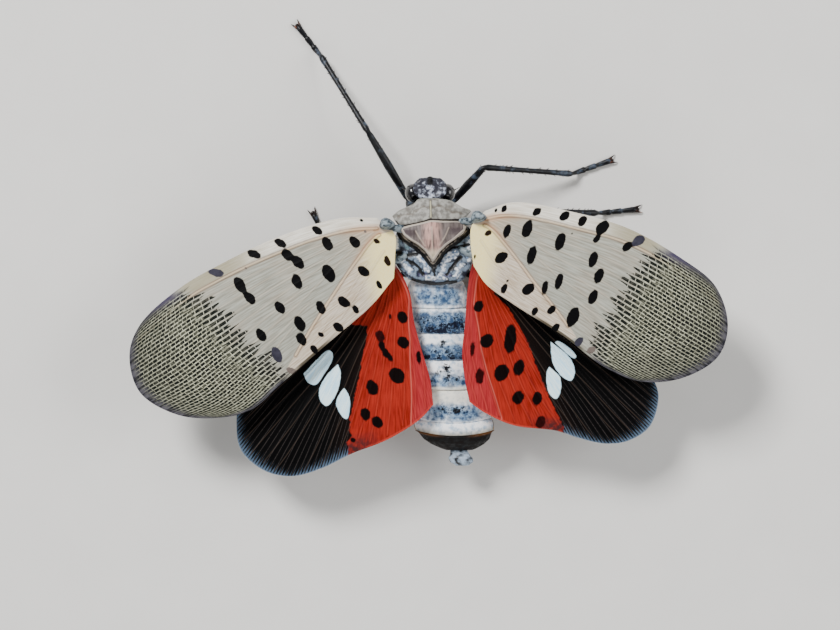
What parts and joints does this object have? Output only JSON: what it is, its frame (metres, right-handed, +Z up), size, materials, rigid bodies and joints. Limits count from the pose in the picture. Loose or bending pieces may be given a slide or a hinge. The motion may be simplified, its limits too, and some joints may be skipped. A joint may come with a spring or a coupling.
{
  "type": "spotted lanternfly",
  "caption": "Still life-size adult spotted lanternfly, Lycorma delicatula, standing with its wings half spread to show red, black and white hindwings under spotted grey forewings.",
  "frame": {"origin": "middle of the outline seen from above, on the level of the soles of the feet", "axes": "+Z up from the surface it stands on, +Y towards the head, +X to the insect's right wing"},
  "size_m": [0.0428, 0.0336, 0.0076],
  "materials": {
    "forewing": "satin",
    "hindwing": "satin",
    "back_plate": "matte",
    "wax": "matte",
    "black": "satin",
    "brown": "satin",
    "orange": "matte",
    "eye": "gloss"
  },
  "bodies": {
    "root": {"head": "back_plate", "eye_left": "eye", "eye_right": "eye", "antenna_left": "orange", "antenna_right": "orange", "rostrum": "black", "pronotum": "back_plate", "mesonotum": "back_plate", "metanotum": "wax", "thorax": "black", "tegula_left": "wax", "tegula_right": "wax", "abdomen": "wax", "abdomen_tip": "brown", "anal_tube": "wax", "forewing_left": "forewing", "forewing_right": "forewing", "hindwing_left": "hindwing", "hindwing_right": "hindwing", "foreleg_left_coxa": "brown", "foreleg_left_femur": "black", "foreleg_left_tibia": "black", "foreleg_left_tarsus": "black", "foreleg_right_coxa": "brown", "foreleg_right_femur": "black", "foreleg_right_tibia": "black", "foreleg_right_tarsus": "black", "midleg_left_coxa": "brown", "midleg_left_femur": "black", "midleg_left_tibia": "black", "midleg_left_tarsus": "black", "midleg_right_coxa": "brown", "midleg_right_femur": "black", "midleg_right_tibia": "black", "midleg_right_tarsus": "black", "hindleg_left_coxa": "brown", "hindleg_left_femur": "black", "hindleg_left_tibia": "black", "hindleg_left_tarsus": "black", "hindleg_right_coxa": "brown", "hindleg_right_femur": "black", "hindleg_right_tibia": "black", "hindleg_right_tarsus": "black"}
  },
  "joints": []
}
